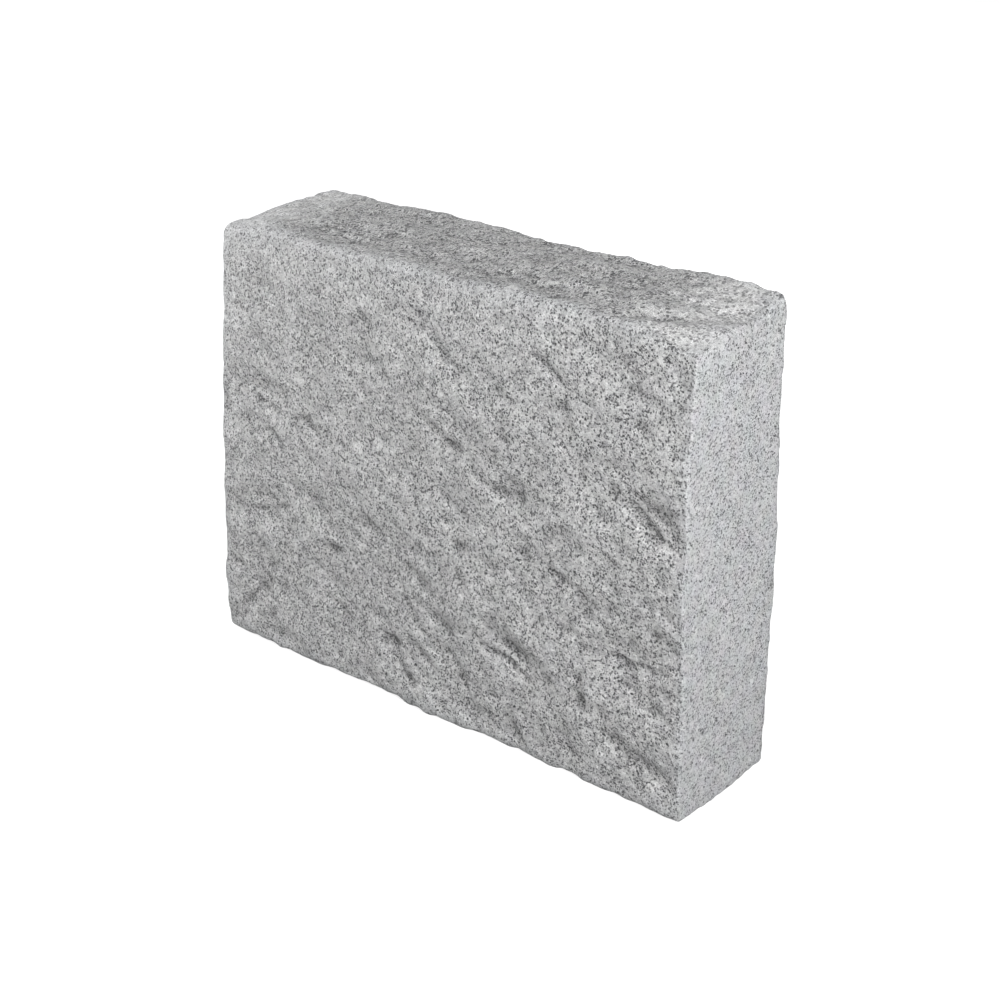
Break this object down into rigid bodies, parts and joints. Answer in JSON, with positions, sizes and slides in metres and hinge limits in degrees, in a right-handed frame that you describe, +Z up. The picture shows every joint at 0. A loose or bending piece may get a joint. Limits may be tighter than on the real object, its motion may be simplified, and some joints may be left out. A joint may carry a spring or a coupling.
{
  "type": "granite wall block",
  "caption": "Oblong grey granite wall block with four rough split faces and two flat sawn ends, standing upright on its long narrow bed",
  "frame": {"origin": "centre of the block's footprint, on the surface that it stands on", "axes": "+X along the length, from the left sawn end to the right one; +Y from the front split face to the back one; +Z up"},
  "size_m": [0.4, 0.1202, 0.3099],
  "materials": {
    "granite": "split grey granite with white feldspar, grey quartz and dark mica flecks; smoother and lighter on the two sawn ends"
  },
  "bodies": {
    "root": {"granite_block": "granite"}
  },
  "joints": []
}
